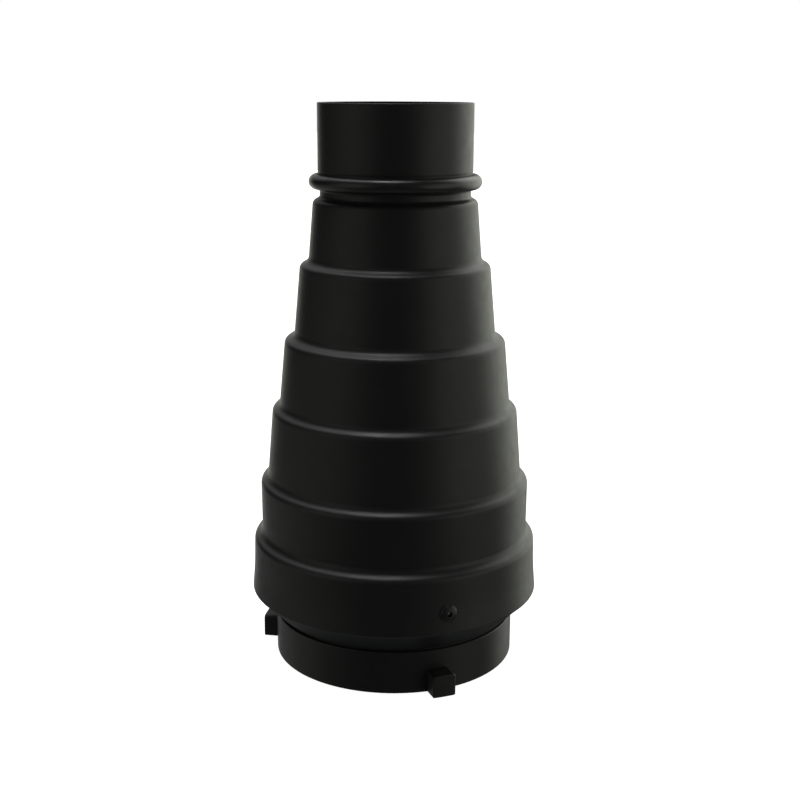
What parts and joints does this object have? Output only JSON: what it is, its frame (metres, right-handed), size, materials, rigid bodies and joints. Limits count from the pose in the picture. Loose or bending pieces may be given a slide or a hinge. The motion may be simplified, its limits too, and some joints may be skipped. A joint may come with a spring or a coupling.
{
  "type": "snoot",
  "caption": "Stepped conical light snoot with a plain nose barrel, a rubber gel ring, a drop-in honeycomb grid and a three-lug bayonet collar.",
  "frame": {"origin": "on the snoot's axis, in the plane of the collar's bottom rim that it stands on", "axes": "+Z along the axis towards the nose, +X to the right and +Y to the back as the snoot is first seen, with one lug 21 degrees to the right of the front"},
  "size_m": [0.1199, 0.1196, 0.2277],
  "materials": {
    "black_paint": "fine matt black powder coat on spun aluminium",
    "collar_black": "satin black paint on a turned metal collar",
    "lug_black": "black coated metal block",
    "rivet_black": "black enamelled rivet",
    "stem_steel": "bare broken steel",
    "black_rubber": "smooth black rubber",
    "grid_anodised": "black anodised foil"
  },
  "bodies": {
    "snoot": {"cone_shell": "black_paint", "base_ring": "black_paint", "mount_collar": "collar_black", "bayonet_lug_1": "lug_black", "bayonet_lug_2": "lug_black", "bayonet_lug_3": "lug_black", "skirt_rivet_1": "rivet_black", "skirt_rivet_2": "rivet_black", "skirt_rivet_3": "rivet_black", "skirt_rivet_stem_1": "stem_steel", "skirt_rivet_stem_2": "stem_steel", "skirt_rivet_stem_3": "stem_steel", "lug_rivet_1": "rivet_black", "lug_rivet_2": "rivet_black", "lug_rivet_3": "rivet_black", "lug_rivet_4": "rivet_black", "lug_rivet_5": "rivet_black", "lug_rivet_6": "rivet_black"},
    "gel_ring": {"gel_ring": "black_rubber"},
    "grid": {"grid_frame": "grid_anodised", "grid_core": "grid_anodised"}
  },
  "joints": [
    {"name": "gel_ring_pull_off", "type": "slide", "parent": "snoot", "child": "gel_ring", "axis": [0, 0, 1], "range_m": [0, 0.038]},
    {"name": "grid_lift_out", "type": "slide", "parent": "snoot", "child": "grid", "axis": [0, 0, 1], "range_m": [0, 0.036]}
  ]
}
